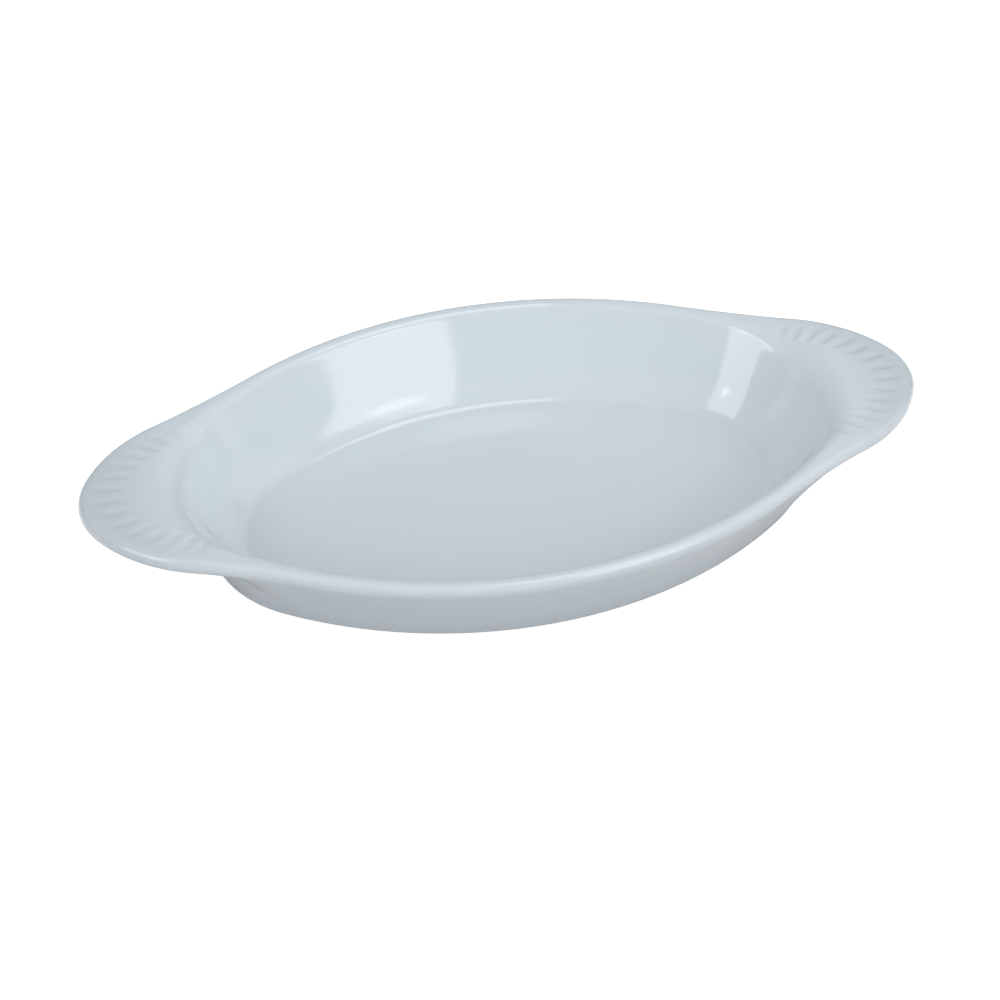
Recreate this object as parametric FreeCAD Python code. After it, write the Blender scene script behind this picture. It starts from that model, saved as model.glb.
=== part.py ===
import FreeCAD, Part
import math
import os

# Oval gratin dish of glazed ceramic, pressed in one piece with two fluted ears.
# Millimetres. The origin is on the table under the middle of the dish.
# X runs from ear to ear, Y across the bowl and Z up.

# Overall sizes
ear_to_ear = 235.0
rim_width = 122.7
rim_height = 28.3

# Rim seen from above: a four-arc oval
bowl_length = 189.4
side_arc_radius = 128.5

# Ears seen from above: necks that leave the sides of the oval, shoulders and tips
neck_arc_radius = 271.0
shoulder_arc_radius = 43.1
tip_arc_radius = 22.2
tip_half_turn = 28.7

# Edge of the rim and of the ears
edge_thickness = 4.2
top_edge_round = 2.0
under_edge_round = 2.1

# Inside of the bowl, its insets measured from the rim oval and its lean from upright, in degrees
rim_thickness = 4.0
inner_rim_round = 3.2
inner_wall_lean = 32.0
floor_height = 4.4
floor_fillet = 8.0

# Outside of the bowl
rim_overhang = 1.07
under_rim_fillet = 5.0
outer_wall_lean = 25.27
heel_height = 2.0
heel_bevel = 3.8

# Foot that the dish stands on, around a shallow recess
foot_width = 4.5
recess_depth = 1.2
recess_taper = 0.5

# Flutes pressed into the top of each ear, on rays from one point of the long axis
flute_count = 15
flute_step = 8.6
flute_focus = 74.5
flute_margin = 4.3
flute_length = 7.5
flute_middle_length = 3.2
flute_width = 2.8
flute_depth = 0.45

# Two things nearer than this are in the same place
slack = 0.01

up = FreeCAD.Vector(0, 0, 1)
ear_underside = rim_height - edge_thickness


def vector(x, y, z=0.0):
    return FreeCAD.Vector(x, y, z)


def direction(angle):
    return vector(math.cos(angle), math.sin(angle))


# Arcs of the rim oval, as centre, radius, start and end
side_centre_y = rim_width / 2 - side_arc_radius
end_arc_radius = ((bowl_length / 2) ** 2 + side_centre_y ** 2 - side_arc_radius ** 2) / (
    bowl_length - 2 * side_arc_radius
)
end_centre_x = bowl_length / 2 - end_arc_radius
join_angle = math.atan2(-side_centre_y, end_centre_x)
oval_arcs = (
    (vector(end_centre_x, 0), end_arc_radius, -join_angle, join_angle),
    (vector(0, side_centre_y), side_arc_radius, join_angle, math.pi - join_angle),
    (vector(-end_centre_x, 0), end_arc_radius, math.pi - join_angle, math.pi + join_angle),
    (vector(0, -side_centre_y), side_arc_radius, math.pi + join_angle, 2 * math.pi - join_angle),
)


def tapered_oval(low_inset, low, high_inset, high):
    """Solid with conical sides between two ovals, each set in from the rim oval."""
    faces = []
    rings = {low: [], high: []}
    for centre, radius, start, end in oval_arcs:
        side = Part.LineSegment(
            centre + direction(start) * (radius - low_inset) + up * low,
            centre + direction(start) * (radius - high_inset) + up * high,
        ).toShape()
        face = side.revolve(centre, up, math.degrees(end - start)).Faces[0]
        faces.append(face)
        for level, ring in rings.items():
            ring += [edge for edge in face.Edges if lies_at(edge, level)]
    faces += [Part.Face(Part.Wire(ring)) for ring in rings.values()]
    shell = Part.makeCompound(faces)
    shell.sewShape()
    return Part.Solid(shell.Shells[0])


def lies_at(edge, level):
    """Whether all of an edge lies at one height."""
    box = edge.BoundBox
    return max(abs(box.ZMin - level), abs(box.ZMax - level)) < slack


def touches(edge, solid):
    """Whether the middle of an edge lies on the skin of a solid."""
    middle = edge.valueAt((edge.FirstParameter + edge.LastParameter) / 2)
    return min(face.distToShape(Part.Vertex(middle))[0] for face in solid.Faces) < slack


def rounded(solid, radius, edges):
    return solid.makeFillet(radius, edges).Solids[0]


def mirrored(shapes, normal):
    return [shape.mirror(vector(0, 0), normal) for shape in shapes]


def on_arc(centre, radius, towards):
    return centre + (towards - centre).normalize() * radius


def arc(centre, radius, start, end):
    return Part.Arc(start, on_arc(centre, radius, (start + end) / 2), end).toShape()


def outline():
    """Outline of rim and ears, from arcs that run into each other without a corner."""
    tip_centre = vector(ear_to_ear / 2 - tip_arc_radius, 0)
    tip_end = tip_centre + direction(math.radians(tip_half_turn)) * tip_arc_radius
    shoulder_centre = on_arc(tip_end, shoulder_arc_radius, tip_centre)
    side_centre = vector(0, side_centre_y)
    # The neck's centre is where circles about the centres of the side and the shoulder cross
    to_shoulder = shoulder_centre - side_centre
    apart = to_shoulder.Length
    side_reach = side_arc_radius + neck_arc_radius
    shoulder_reach = shoulder_arc_radius + neck_arc_radius
    along = (apart ** 2 + side_reach ** 2 - shoulder_reach ** 2) / (2 * apart)
    across = math.sqrt(side_reach ** 2 - along ** 2)
    ahead = to_shoulder / apart
    neck_centre = side_centre + ahead * along + up.cross(ahead) * across
    side_end = on_arc(side_centre, side_arc_radius, neck_centre)
    neck_end = on_arc(shoulder_centre, shoulder_arc_radius, neck_centre)
    quarter = [
        arc(neck_centre, neck_arc_radius, side_end, neck_end),
        arc(shoulder_centre, shoulder_arc_radius, neck_end, tip_end),
    ]
    half = quarter + mirrored(quarter, vector(0, 1))
    tip_arc = arc(tip_centre, tip_arc_radius, tip_end, vector(tip_end.x, -tip_end.y))
    side_arc = arc(side_centre, side_arc_radius, side_end, vector(-side_end.x, side_end.y))
    edges = half + mirrored(half, vector(1, 0))
    edges += [tip_arc] + mirrored([tip_arc], vector(1, 0))
    edges += [side_arc] + mirrored([side_arc], vector(0, 1))
    return Part.Wire(Part.sortEdges(edges)[0])


def rim_slab():
    """Rim and both ears as one slab, its edge rounded above and below."""
    slab = Part.Face(outline()).extrude(up * edge_thickness)
    slab.translate(up * ear_underside)
    for level, radius in ((rim_height, top_edge_round), (ear_underside, under_edge_round)):
        slab = rounded(slab, radius, [edge for edge in slab.Edges if lies_at(edge, level)])
    return slab


def flute():
    """Notch of one flute along X, pointed at both ends and deepest along its middle."""
    half_length = flute_length / 2
    half_middle = flute_middle_length / 2
    half_width = flute_width / 2
    brim = [
        vector(half_length, 0),
        vector(half_middle, half_width),
        vector(-half_middle, half_width),
        vector(-half_length, 0),
        vector(-half_middle, -half_width),
        vector(half_middle, -half_width),
    ]
    front = vector(half_middle, 0, -flute_depth)
    back = vector(-half_middle, 0, -flute_depth)
    facets = [
        [brim[0], brim[1], front],
        [brim[1], brim[2], back, front],
        [brim[2], brim[3], back],
        [brim[3], brim[4], back],
        [brim[4], brim[5], front, back],
        [brim[5], brim[0], front],
        brim,
    ]
    return Part.Solid(Part.Shell([Part.Face(Part.makePolygon(facet + facet[:1])) for facet in facets]))


def ear_flutes():
    """The flutes of the ear at +X, on rays from the focus, all the same way inside its edge."""
    focus = vector(flute_focus, 0)
    edge_line = outline()
    notches = []
    for number in range(flute_count):
        angle = (number - (flute_count - 1) / 2) * flute_step
        ray = direction(math.radians(angle))
        sight = Part.LineSegment(focus, focus + ray * ear_to_ear).toShape()
        edge_distance = (edge_line.distToShape(sight)[1][0][0] - focus).Length
        notch = flute()
        notch.rotate(vector(0, 0), up, angle)
        notch.translate(focus + ray * (edge_distance - flute_margin - flute_length / 2) + up * rim_height)
        notches.append(notch)
    return notches


# Outside: the tapered wall and the rim slab, blended where the slab stands out of the wall
wall_run = math.tan(math.radians(outer_wall_lean))
wall_top_inset = rim_overhang - under_edge_round * wall_run
heel_inset = rim_overhang + (ear_underside - heel_height) * wall_run
foot_inset = heel_inset + heel_bevel
wall = tapered_oval(heel_inset, heel_height, wall_top_inset, ear_underside + under_edge_round)
slab = rim_slab()
dish = wall.fuse(slab).removeSplitter().Solids[0]
meeting = [edge for edge in dish.Edges if touches(edge, wall) and touches(edge, slab)]
dish = rounded(dish, under_rim_fillet, meeting)
dish = dish.fuse(tapered_oval(foot_inset, 0.0, heel_inset, heel_height))

# Inside: the tapered basin, its floor corner and the rounded way in
basin_run = math.tan(math.radians(inner_wall_lean))
basin_top_inset = rim_thickness - edge_thickness * basin_run
floor_inset = rim_thickness + (rim_height - floor_height) * basin_run
basin = tapered_oval(floor_inset, floor_height, basin_top_inset, rim_height + edge_thickness)
dish = dish.cut(basin)
dish = rounded(dish, floor_fillet, [edge for edge in dish.Edges if lies_at(edge, floor_height)])
inner_rim = [edge for edge in dish.Edges if lies_at(edge, rim_height) and touches(edge, basin)]
half_turn = math.radians(90 - inner_wall_lean) / 2
rim_room = (rim_thickness - top_edge_round - slack) / math.tan(half_turn)
dish = rounded(dish, min(inner_rim_round, rim_room), inner_rim)

# Recess inside the foot, and the flutes of both ears
recess_inset = foot_inset + foot_width
dish = dish.cut(tapered_oval(recess_inset, 0.0, recess_inset + recess_taper, recess_depth))
flutes = ear_flutes()
flutes += mirrored(flutes, vector(1, 0))
dish = dish.cut(Part.makeCompound(flutes)).Solids[0]

os.makedirs("parts", exist_ok=True)
dish.exportStep("parts/dish.step")
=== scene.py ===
import math

import bpy
import numpy as np
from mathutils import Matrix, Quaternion, Vector


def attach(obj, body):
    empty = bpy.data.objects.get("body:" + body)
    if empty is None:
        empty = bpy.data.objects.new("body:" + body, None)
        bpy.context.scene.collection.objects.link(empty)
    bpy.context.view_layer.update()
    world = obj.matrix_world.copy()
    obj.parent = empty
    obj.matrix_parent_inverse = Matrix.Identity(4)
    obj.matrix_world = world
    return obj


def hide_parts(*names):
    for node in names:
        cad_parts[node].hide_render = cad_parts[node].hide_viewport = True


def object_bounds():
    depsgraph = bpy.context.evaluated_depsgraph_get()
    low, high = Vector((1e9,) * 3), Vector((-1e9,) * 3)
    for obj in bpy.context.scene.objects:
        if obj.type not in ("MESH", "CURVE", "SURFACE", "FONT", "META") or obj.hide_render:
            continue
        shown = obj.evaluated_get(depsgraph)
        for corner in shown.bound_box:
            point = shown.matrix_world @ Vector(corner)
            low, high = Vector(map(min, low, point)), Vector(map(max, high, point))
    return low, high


# Oval gratin dish of glazed ceramic, pressed in one piece with two fluted ears.
# Metres. The origin is on the table under the middle of the dish.
# X runs from ear to ear, Y across the bowl and Z up.

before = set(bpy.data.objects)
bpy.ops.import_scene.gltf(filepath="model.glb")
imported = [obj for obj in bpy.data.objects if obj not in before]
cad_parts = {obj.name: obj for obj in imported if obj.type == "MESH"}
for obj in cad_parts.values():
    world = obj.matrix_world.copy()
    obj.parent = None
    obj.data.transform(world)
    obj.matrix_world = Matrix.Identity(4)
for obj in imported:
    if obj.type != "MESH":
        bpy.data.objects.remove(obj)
cad_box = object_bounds()
scene = bpy.context.scene

# Overall sizes, from the frame
ear_tip = cad_box[1].x
half_width = cad_box[1].y
rim_height = cad_box[1].z

# Rim seen from above: a four-arc oval
half_length = 0.0947
side_arc_radius = 0.1285

# Ears seen from above: necks that leave the sides of the oval, shoulders and tips
neck_arc_radius = 0.271
shoulder_arc_radius = 0.0431
tip_arc_radius = 0.0222
tip_half_turn = math.radians(28.7)

# Inside of the bowl, its insets measured from the rim oval, and its wall bent above the floor
rim_thickness = 0.0040
floor_height = 0.0044
floor_inset = 0.0195
floor_fillet = 0.0042
floor_margin = 0.0060
bend_height = 0.0060
lower_wall_lean = math.radians(43.5)
bend_round = 0.0300
rim_inner_round = 0.0032
ear_inner_round = 0.0110

# Edge of the rim and of the ears
rim_edge_thickness = 0.0030
ear_edge_thickness = 0.0042
rim_edge_round = 0.0016
ear_edge_round = 0.0022
rim_under_round = 0.0040
ear_under_round = 0.0018

# Outside of the bowl: a leaning wall with a bevelled heel
outer_wall_lean = math.radians(25.27)
heel_inset = 0.0115
heel_height = 0.0020
heel_bevel = 0.0038
heel_round = 0.0030

# Underside of the rim and of the ears, which slopes down from the edge and is blended into the wall
rim_under_slope = math.radians(63.0)
ear_under_slope = math.radians(4.0)
rim_neck_blend = 0.0040
ear_neck_blend = 0.0047

# Foot that the dish stands on, around a shallow recess
foot_width = 0.0045
foot_round = 0.0006
recess_depth = 0.0012
recess_taper = 0.0005
recess_round = 0.0007
recess_margin = 0.0040

# An ear's edge and its roll into the bowl are full where it stands this far out of the rim oval
edge_growth = 0.0080
roll_growth = 0.0150

# Flutes pressed into the top of each ear, on rays from one point of the long axis
flute_count = 15
flute_step = math.radians(8.6)
flute_focus = 0.0745
flute_margin = 0.0043
flute_length = 0.0075
flute_width = 0.0032
flute_depth = 0.00020

# Glaze: painted shade that darkens it towards the tips of the ears, and wiped off the foot
ear_tip_shade_width = 0.0180
bare_height = 0.00012

# Mesh: spacing of the sections along the ears and the sides, and points along each section
ear_spacing = 0.00045
side_spacing = 0.00120
row_count = 120

# A turn of one radian gets as many points of a section as this length
turn_weight = 0.0018

# Steps in which a rounded corner and a quarter of the oval are worked out
arc_steps = 48
angle_steps = 2000

# Rows that close the floor and the recess, the innermost at this share of their size
cap_rows = 10
cap_share = 0.03

# Two places nearer than this are the same
slack = 1e-9


def ease(share):
    """A share that starts and stops gently between 0 and 1."""
    share = np.clip(share, 0.0, 1.0)
    return share * share * (3 - 2 * share)


def mix(low, high, share):
    return low + (high - low) * share


def unit(vectors):
    return vectors / np.linalg.norm(vectors, axis=-1, keepdims=True)


# Arcs of the rim oval
side_centre_y = half_width - side_arc_radius
end_arc_radius = (half_length ** 2 + side_centre_y ** 2 - side_arc_radius ** 2) / (
    2 * (half_length - side_arc_radius)
)
end_centre_x = half_length - end_arc_radius
join_angle = math.atan2(-side_centre_y, end_centre_x)


def rim_oval(angles):
    """Points of the rim oval whose outward normals have these angles, and those normals."""
    normals = np.stack([np.cos(angles), np.sin(angles)], axis=1)
    signs = np.where(normals < 0, -1.0, 1.0)
    folded = np.arctan2(np.abs(normals[:, 1]), np.abs(normals[:, 0]))
    at_end = (folded < join_angle)[:, None]
    centres = np.where(at_end, (end_centre_x, 0.0), (0.0, side_centre_y)) * signs
    radii = np.where(at_end, end_arc_radius, side_arc_radius)
    return centres + normals * radii, normals


def outline_arcs():
    """Arcs of the outline's first quarter, from the side to the tip: centre, radius, bulge and end.

    The bulge is 1 where an arc curves outwards and -1 where it curves inwards.
    """
    side_centre = np.array([0.0, side_centre_y])
    tip_centre = np.array([ear_tip - tip_arc_radius, 0.0])
    tip_way = np.array([math.cos(tip_half_turn), math.sin(tip_half_turn)])
    shoulder_centre = tip_centre - (shoulder_arc_radius - tip_arc_radius) * tip_way
    # The neck's centre is where circles about the centres of the side and the shoulder cross
    to_shoulder = shoulder_centre - side_centre
    apart = np.linalg.norm(to_shoulder)
    side_reach = side_arc_radius + neck_arc_radius
    shoulder_reach = shoulder_arc_radius + neck_arc_radius
    along = (apart ** 2 + side_reach ** 2 - shoulder_reach ** 2) / (2 * apart)
    across = math.sqrt(side_reach ** 2 - along ** 2)
    ahead = to_shoulder / apart
    neck_centre = side_centre + ahead * along + np.array([-ahead[1], ahead[0]]) * across
    side_end = side_centre + unit(neck_centre - side_centre) * side_arc_radius
    neck_end = shoulder_centre + unit(neck_centre - shoulder_centre) * shoulder_arc_radius
    tip_start = tip_centre + tip_way * tip_arc_radius
    return (
        (side_centre, side_arc_radius, 1, side_end),
        (neck_centre, neck_arc_radius, -1, neck_end),
        (shoulder_centre, shoulder_arc_radius, 1, tip_start),
        (tip_centre, tip_arc_radius, 1, np.array([ear_tip, 0.0])),
    )


def edge_distance(starts, ways):
    """Distance from points inside the outline to it, along level directions."""
    signs = np.where(ways < 0, -1.0, 1.0)
    starts, ways = starts * signs, ways * signs
    distance = np.zeros(len(starts))
    done = np.zeros(len(starts), bool)
    for centre, radius, bulge, end in outline_arcs():
        offsets = starts - centre
        past_centre = np.sum(offsets * ways, axis=1)
        half_chord_squared = past_centre ** 2 - np.sum(offsets ** 2, axis=1) + radius ** 2
        found = bulge * np.sqrt(np.maximum(half_chord_squared, 0.0)) - past_centre
        # The first arc that is met before its end counts
        x, y = (starts + ways * found[:, None]).T
        fits = (half_chord_squared >= 0) & (x * end[1] <= y * end[0] + slack) & ~done
        fits &= (x - end[0] <= slack) | (end[1] == 0)
        distance = np.where(fits, found, distance)
        done |= fits
    return distance


def rounded_sections(corners, radii):
    """Points along lines with rounded corners, for many sections at once, spread by length and turn."""
    before, corner, after = corners[:, :-2], corners[:, 1:-1], corners[:, 2:]
    ways_in, ways_out = unit(corner - before), unit(after - corner)
    full_turns = np.arccos(np.clip(np.sum(ways_in * ways_out, axis=2), -1, 1))
    begin = corner - ways_in * (radii * np.tan(full_turns / 2))[..., None]
    side = np.sign(ways_in[..., 0] * ways_out[..., 1] - ways_in[..., 1] * ways_out[..., 0])
    inward = np.stack([-ways_in[..., 1], ways_in[..., 0]], axis=2) * side[..., None]
    turns = full_turns[..., None] * np.linspace(0, 1, arc_steps)
    forward = np.sin(turns)[..., None] * ways_in[:, :, None]
    sideways = (1 - np.cos(turns))[..., None] * inward[:, :, None]
    arcs = begin[:, :, None] + (forward + sideways) * radii[..., None, None]
    count = len(corners)
    points = np.concatenate([corners[:, :1], arcs.reshape(count, -1, 2), corners[:, -1:]], axis=1)
    steps = np.linalg.norm(np.diff(points, axis=1), axis=2)
    start = np.zeros((count, 1))
    lengths = np.concatenate([start, np.cumsum(steps, axis=1)], axis=1)
    turned = (turns + (np.cumsum(full_turns, axis=1) - full_turns)[..., None]).reshape(count, -1)
    turned = np.concatenate([start, turned, turned[:, -1:]], axis=1)
    rows = []
    for section, spread in zip(points, lengths + turn_weight * turned):
        wanted = np.linspace(0, spread[-1], row_count)
        rows.append(np.stack([np.interp(wanted, spread, places) for places in section.T], axis=1))
    return np.array(rows)


def sections(reach):
    """Sections of the dish from its floor over the rim to its foot: outward place and height."""
    grown, rolled = ease(reach / edge_growth), ease(reach / roll_growth)
    outer_run = math.tan(outer_wall_lean)
    bend_inset = floor_inset - bend_height * math.tan(lower_wall_lean)
    foot_inset = heel_inset + heel_bevel
    recess_inset = foot_inset + foot_width
    under = rim_height - mix(rim_edge_thickness, ear_edge_thickness, grown)
    under_slope = mix(rim_under_slope, ear_under_slope, grown)
    slope = np.tan(under_slope)
    neck_turn = math.pi / 2 - outer_wall_lean - under_slope
    wall_at_under = (under - heel_height) * outer_run - heel_inset
    run = (reach - wall_at_under) / (1 - slope * outer_run)
    outward_and_height = (
        (-floor_inset - floor_margin, floor_height),
        (-floor_inset, floor_height),
        (-bend_inset, floor_height + bend_height),
        (-rim_thickness, rim_height),
        (reach, rim_height),
        (reach, under),
        (reach - run, under - run * slope),
        (-heel_inset, heel_height),
        (-foot_inset, 0.0),
        (-recess_inset, 0.0),
        (-recess_inset - recess_taper, recess_depth),
        (-recess_inset - recess_margin, recess_depth),
    )
    rounds = (
        floor_fillet,
        bend_round,
        mix(rim_inner_round, ear_inner_round, rolled),
        mix(rim_edge_round, ear_edge_round, grown),
        mix(rim_under_round, ear_under_round, grown),
        mix(rim_neck_blend, ear_neck_blend, grown) / np.tan(neck_turn / 2),
        heel_round,
        foot_round,
        foot_round,
        recess_round,
    )
    each = np.ones_like(reach)
    corners = np.stack([np.stack([out * each, up * each], axis=1) for out, up in outward_and_height], axis=1)
    return rounded_sections(corners, np.stack([radius * each for radius in rounds], axis=1))


def edge_reach(points, normals):
    """How far the edge of the dish stands out of points of the rim oval."""
    return edge_distance(points - normals * rim_thickness, normals) - rim_thickness


def spread_angles():
    """Angles of the sections, closer together along the fluted ears than along the sides."""
    fine = np.linspace(0, math.pi / 2, angle_steps)
    reach = edge_reach(*rim_oval(fine))
    radius = np.where(fine < join_angle, end_arc_radius, side_arc_radius) + reach
    spacing = mix(side_spacing, ear_spacing, ease(reach / edge_growth))
    passed = np.concatenate([[0.0], np.cumsum((radius / spacing)[1:] * np.diff(fine))])
    count = int(passed[-1])
    quarter = np.interp((np.arange(count) + 0.5) / count * passed[-1], passed, fine)
    half = np.concatenate([quarter, math.pi - quarter[::-1]])
    return np.concatenate([half, math.pi + half])


def flute_depths(x, y):
    """How deep the flutes, blunt at their ends and round across, are pressed at these places."""
    depth = np.zeros_like(x)
    x = np.abs(x)
    numbers = np.arange(flute_count) - (flute_count - 1) / 2
    ways = np.stack([np.cos(numbers * flute_step), np.sin(numbers * flute_step)], axis=1)
    focus = np.array([flute_focus, 0.0])
    middles = edge_distance(np.tile(focus, (flute_count, 1)), ways) - flute_margin - flute_length / 2
    for (way_x, way_y), middle in zip(ways, middles):
        along = (x - flute_focus) * way_x + y * way_y - middle
        across = y * way_x - (x - flute_focus) * way_y
        inside = 1 - (2 * along / flute_length) ** 4 - (2 * across / flute_width) ** 2
        depth = np.maximum(depth, flute_depth * ease(inside))
    return depth


def dish_points():
    """Points of the dish by section and row, how far the flutes press each and how far out it lies."""
    base, normals = rim_oval(spread_angles())
    profile = sections(np.maximum(edge_reach(base, normals), 0.0))
    level = base[:, None, :] + normals[:, None, :] * profile[..., :1]
    points = np.concatenate([level, profile[..., 1:]], axis=2)
    pressed = flute_depths(points[..., 0], points[..., 1])
    pressed *= ease((points[..., 2] - rim_height + rim_edge_round) / rim_edge_round)
    points[..., 2] -= pressed
    return points, pressed, profile[..., 0]


def capped(points, *values):
    """Adds rows that close the floor and the recess towards the middle of the dish."""
    shares = np.linspace(cap_share, 1, cap_rows, endpoint=False)
    scale = np.stack([shares, shares, np.ones(cap_rows)], axis=1)
    floor = points[:, :1] * scale
    recess = points[:, -1:] * scale[::-1]
    blank = np.zeros((len(points), cap_rows))
    padded = [np.concatenate([blank, value, blank], axis=1) for value in values]
    return np.concatenate([floor, points, recess], axis=1), *padded


def dish_mesh():
    """The dish as one closed mesh that carries where painted shade darkens its flutes and ear tips and where
    its glaze is wiped off.
    """
    points, pressed, outward = capped(*dish_points())
    points = np.clip(points, np.array(cad_box[0]), np.array(cad_box[1]))
    around, along = points.shape[:2]
    number = np.arange(around * along).reshape(around, along)
    ahead = np.roll(number, -1, axis=0)
    quads = np.stack([number[:, :-1], number[:, 1:], ahead[:, 1:], ahead[:, :-1]], axis=2).reshape(-1, 4)
    caps = [number[:, 0].tolist(), number[::-1, -1].tolist()]
    mesh = bpy.data.meshes.new("dish_glazed")
    mesh.from_pydata(points.reshape(-1, 3).tolist(), [], quads.tolist() + caps)
    for name, values in (
        # Painted shade: how far each point lies in a flute, where a darker colour stands in for shading
        ("flute_shade", pressed / flute_depth),
        # Painted shade: a darker colour that grows towards the ear tips and stands in for shading
        ("ear_tip_shade", ease(outward / ear_tip_shade_width)),
        ("bare", (points[..., 2] < bare_height) & (outward < 0)),
    ):
        carried = mesh.attributes.new(name, "FLOAT", "POINT")
        carried.data.foreach_set("value", values.ravel().astype(np.float32))
    mesh.shade_smooth()
    return mesh


# Colours and roughness of the glaze, of its painted shade in the flutes and towards the ear tips, and of the
# bare clay
glaze_colour = (0.71, 0.785, 0.842, 1.0)
glaze_mottle = (0.692, 0.770, 0.829, 1.0)
# Painted shade: darker glaze colour that stands in for shading in the flutes
flute_shade_colour = (0.665, 0.745, 0.808, 1.0)
# Painted shade: darker glaze colour that stands in for shading towards the ear tips
ear_tip_shade_colour = (0.606, 0.675, 0.727, 1.0)
clay_colour = (0.66, 0.61, 0.54, 1.0)
glaze_roughness = (0.07, 0.10)
clay_roughness = 0.80

# Scale and detail of the noise in the glaze, and its ripples
mottle_noise = (55.0, 4.0)
gloss_noise = (120.0, 3.0)
ripple_noise = (90.0, 1.0)
ripple_strength = 0.25
ripple_height = 0.0004

# Range of a share, and a blend's first and second input and its output, for each kind of value
whole = (0.0, 1.0)
blend_sockets = {"FLOAT": (2, 3, 0), "RGBA": (6, 7, 2)}


def new_material(name):
    material = bpy.data.materials.new(name)
    material.use_nodes = True
    tree = material.node_tree
    return material, tree, tree.nodes["Principled BSDF"]


def noise(tree, scale, detail):
    """Noise over the place on the dish."""
    place = tree.nodes.new("ShaderNodeTexCoord")
    texture = tree.nodes.new("ShaderNodeTexNoise")
    texture.inputs["Scale"].default_value = scale
    texture.inputs["Detail"].default_value = detail
    tree.links.new(place.outputs["Object"], texture.inputs["Vector"])
    return texture.outputs["Fac"]


def attribute(tree, name):
    node = tree.nodes.new("ShaderNodeAttribute")
    node.attribute_name = name
    return node.outputs["Fac"]


def mapped(tree, value, old_range, new_range, interpolation="LINEAR"):
    """A value taken from one range to another."""
    node = tree.nodes.new("ShaderNodeMapRange")
    node.interpolation_type = interpolation
    for socket, limit in zip(("From Min", "From Max", "To Min", "To Max"), old_range + new_range):
        node.inputs[socket].default_value = limit
    tree.links.new(value, node.inputs["Value"])
    return node.outputs["Result"]


def combined(tree, operation, first, second):
    """What an operation makes of two outputs."""
    node = tree.nodes.new("ShaderNodeMath")
    node.operation = operation
    tree.links.new(first, node.inputs[0])
    tree.links.new(second, node.inputs[1])
    return node.outputs["Value"]


def blended(tree, kind, share, first, second):
    """The first value, an output or a constant, turning into the second as the share rises."""
    node = tree.nodes.new("ShaderNodeMix")
    node.data_type = kind
    tree.links.new(share, node.inputs["Factor"])
    first_socket, second_socket, result = blend_sockets[kind]
    for value, socket in ((first, first_socket), (second, second_socket)):
        if isinstance(value, bpy.types.NodeSocket):
            tree.links.new(value, node.inputs[socket])
        else:
            node.inputs[socket].default_value = value
    return node.outputs[result]


def glaze():
    """Glossy glaze with slight mottling and fine ripples, painted shade in its flutes and towards the ear
    tips, and bare clay where it is wiped off.
    """
    material, tree, shader = new_material("glaze")
    colour = blended(tree, "RGBA", noise(tree, *mottle_noise), glaze_colour, glaze_mottle)
    # Painted shade in the flutes and towards the ear tips, then bare clay where the glaze is wiped off
    for name, tone in (("flute_shade", flute_shade_colour), ("ear_tip_shade", ear_tip_shade_colour), ("bare", clay_colour)):
        colour = blended(tree, "RGBA", attribute(tree, name), colour, tone)
    gloss = mapped(tree, noise(tree, *gloss_noise), whole, glaze_roughness)
    roughness = blended(tree, "FLOAT", attribute(tree, "bare"), gloss, clay_roughness)
    ripple = tree.nodes.new("ShaderNodeBump")
    ripple.inputs["Strength"].default_value = ripple_strength
    ripple.inputs["Distance"].default_value = ripple_height
    tree.links.new(noise(tree, *ripple_noise), ripple.inputs["Height"])
    shader.inputs["Base Color"].default_value = glaze_colour
    tree.links.new(colour, shader.inputs["Base Color"])
    tree.links.new(roughness, shader.inputs["Roughness"])
    tree.links.new(ripple.outputs["Normal"], shader.inputs["Normal"])
    return material


def new_object(name, data):
    thing = bpy.data.objects.new(name, data)
    scene.collection.objects.link(thing)
    return thing


def make_dish():
    mesh = dish_mesh()
    dish = new_object("dish_glazed", mesh)
    mesh.materials.append(glaze())
    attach(dish, "root")
    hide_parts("dish")


# Floor, a hair below the foot, and how far and how deep the dish shades its white
floor_size = 40.0
floor_level = -0.00005
floor_grey = (0.54, 0.54, 0.54, 1.0)
shadow_reach = 0.35
shadow_samples = 3
seen_shadow = 0.20
mirrored_shadow = 0.28

# Surround: an even strength, and a round glow that fades from its core to its edge
surround_colour = (1.0, 1.0, 1.0, 1.0)
ambient = 0.277
glow = 0.52
glow_azimuth, glow_elevation = math.radians(140.0), math.radians(40.0)
glow_edge, glow_core = math.radians(22.0), math.radians(8.0)

# Name of each lamp, its azimuth, elevation and roll in degrees, distance, width, height and radiance
lamps = (
    ("key_softbox", 32.0, 26.5, -19.0, 1.5, 0.75, 1.04, 3.1),
    ("key_core", 34.5, 39.0, 0.0, 1.49, 0.30, 0.22, 2.4),
    ("left_softbox", -69.5, 30.5, 8.0, 1.5, 0.76, 1.04, 3.0),
    ("left_core", -65.0, 33.0, 0.0, 1.49, 0.13, 0.24, 4.2),
    ("top_softbox", 76.0, 74.0, 0.0, 1.5, 0.68, 0.64, 3.20),
    ("right_fill", 85.0, 25.0, 0.0, 1.5, 0.90, 1.00, 0.75),
    ("left_fill", -118.0, 14.0, 0.0, 1.5, 0.25, 0.40, 0.9),
)

# Camera, its lens and sensor in millimetres and its shifts as shares of the sensor
camera_azimuth, camera_elevation = math.radians(-15.672), math.radians(38.579)
camera_distance = 0.6398
camera_target = Vector((0.0, 0.0, 0.02756))
camera_lens = 84.41
camera_sensor = 36.0
camera_shift_x, camera_shift_y = -0.0094, -0.0665


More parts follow.
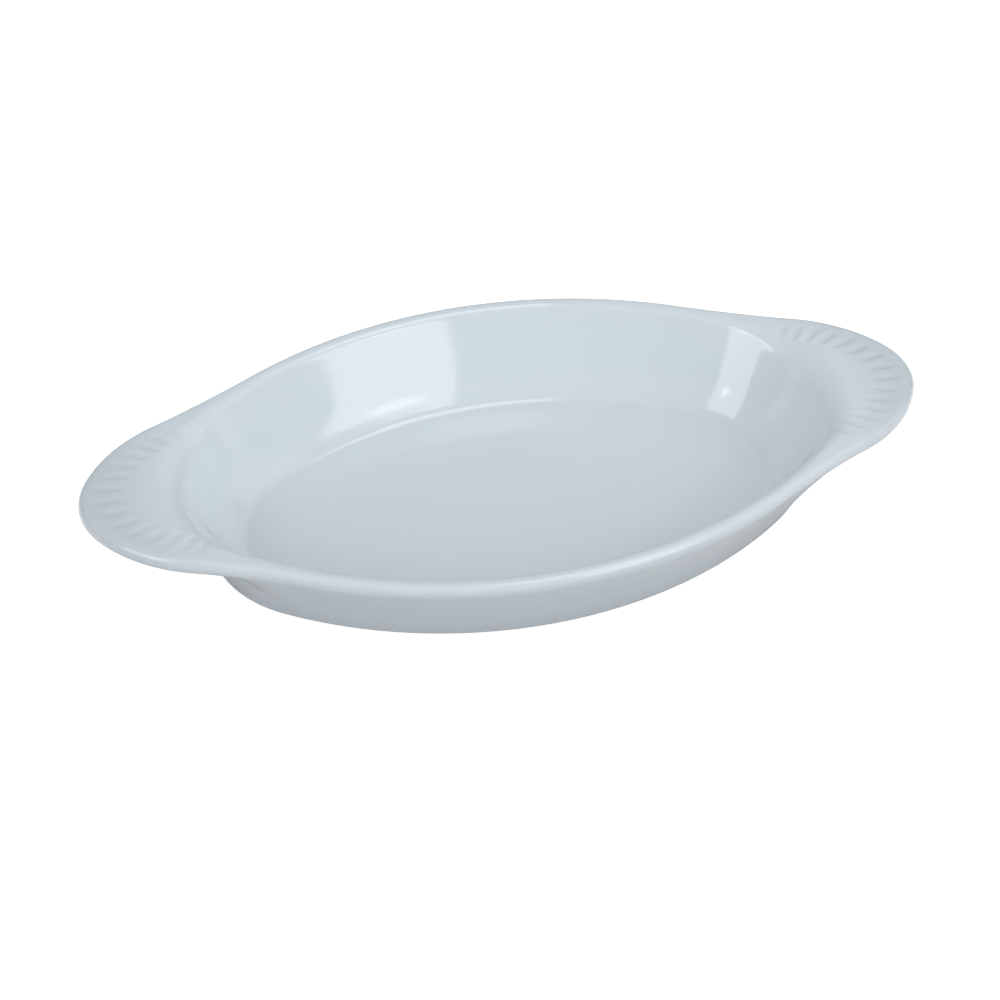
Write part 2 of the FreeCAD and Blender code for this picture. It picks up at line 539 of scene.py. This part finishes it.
def white_strength(tree):
    """The floor's white for rays that show the background, less where the dish keeps light off."""
    rays = tree.nodes.new("ShaderNodeLightPath").outputs
    shade = tree.nodes.new("ShaderNodeAmbientOcclusion")
    shade.samples = shadow_samples
    shade.inputs["Distance"].default_value = shadow_reach
    seen = mapped(tree, shade.outputs["AO"], whole, (1 - seen_shadow, 1.0))
    mirrored = mapped(tree, shade.outputs["AO"], (mirrored_shadow, 1.0), whole)
    mirror_rays = combined(tree, "MAXIMUM", rays["Is Glossy Ray"], rays["Is Transmission Ray"])
    seen = combined(tree, "MULTIPLY", rays["Is Camera Ray"], seen)
    mirrored = combined(tree, "MULTIPLY", mirror_rays, mirrored)
    return combined(tree, "ADD", seen, mirrored)


def make_floor():
    half = floor_size / 2
    corners = [(x * half, y * half, floor_level) for x, y in ((-1, -1), (1, -1), (1, 1), (-1, 1))]
    mesh = bpy.data.meshes.new("floor")
    mesh.from_pydata(corners, [], [(0, 1, 2, 3)])
    new_object("floor", mesh)
    material, tree, shader = new_material("floor_white")
    shader.inputs["Base Color"].default_value = floor_grey
    shader.inputs["Roughness"].default_value = 1.0
    shader.inputs["Specular IOR Level"].default_value = 0.0
    white = tree.nodes.new("ShaderNodeEmission")
    tree.links.new(white_strength(tree), white.inputs["Strength"])
    both = tree.nodes.new("ShaderNodeAddShader")
    tree.links.new(shader.outputs["BSDF"], both.inputs[0])
    tree.links.new(white.outputs["Emission"], both.inputs[1])
    tree.links.new(both.outputs["Shader"], tree.nodes["Material Output"].inputs["Surface"])
    mesh.materials.append(material)


def towards(azimuth, elevation):
    """Direction from the dish. Azimuth 0 is in front, at -Y, and a quarter turn is at +X."""
    level = math.cos(elevation)
    return Vector((math.sin(azimuth) * level, -math.cos(azimuth) * level, math.sin(elevation)))


def make_world():
    """A soft surround with a glow on the far right."""
    world = bpy.data.worlds.new("studio")
    scene.world = world
    world.use_nodes = True
    tree = world.node_tree
    background = tree.nodes["Background"]
    background.inputs["Color"].default_value = surround_colour
    way = tree.nodes.new("ShaderNodeTexCoord")
    nearness = tree.nodes.new("ShaderNodeVectorMath")
    nearness.operation = "DOT_PRODUCT"
    nearness.inputs[1].default_value = towards(glow_azimuth, glow_elevation)
    tree.links.new(way.outputs["Generated"], nearness.inputs[0])
    fade = (math.cos(glow_edge), math.cos(glow_core))
    strength = mapped(tree, nearness.outputs["Value"], fade, (ambient, ambient + glow), "SMOOTHSTEP")
    tree.links.new(strength, background.inputs["Strength"])


def make_lamp(name, azimuth, elevation, roll, distance, width, height, radiance):
    """A rectangular lamp that faces the dish, its angles in degrees."""
    lamp = bpy.data.lights.new(name, "AREA")
    lamp.shape = "RECTANGLE"
    lamp.size = width
    lamp.size_y = height
    lamp.energy = radiance * math.pi * width * height
    way = towards(math.radians(azimuth), math.radians(elevation))
    rolled = Quaternion((0.0, 0.0, 1.0), math.radians(roll))
    stand = new_object(name, lamp)
    stand.location = way * distance
    stand.rotation_euler = (way.to_track_quat("Z", "Y") @ rolled).to_euler()


def make_camera():
    data = bpy.data.cameras.new("camera")
    data.sensor_width = camera_sensor
    data.lens = camera_lens
    data.shift_x = camera_shift_x
    data.shift_y = camera_shift_y
    way = towards(camera_azimuth, camera_elevation)
    camera = new_object("camera", data)
    camera.location = camera_target + way * camera_distance
    camera.rotation_euler = way.to_track_quat("Z", "Y").to_euler()
    scene.camera = camera


make_dish()
make_floor()
make_world()
for lamp in lamps:
    make_lamp(*lamp)
make_camera()
scene.view_settings.view_transform = "Standard"
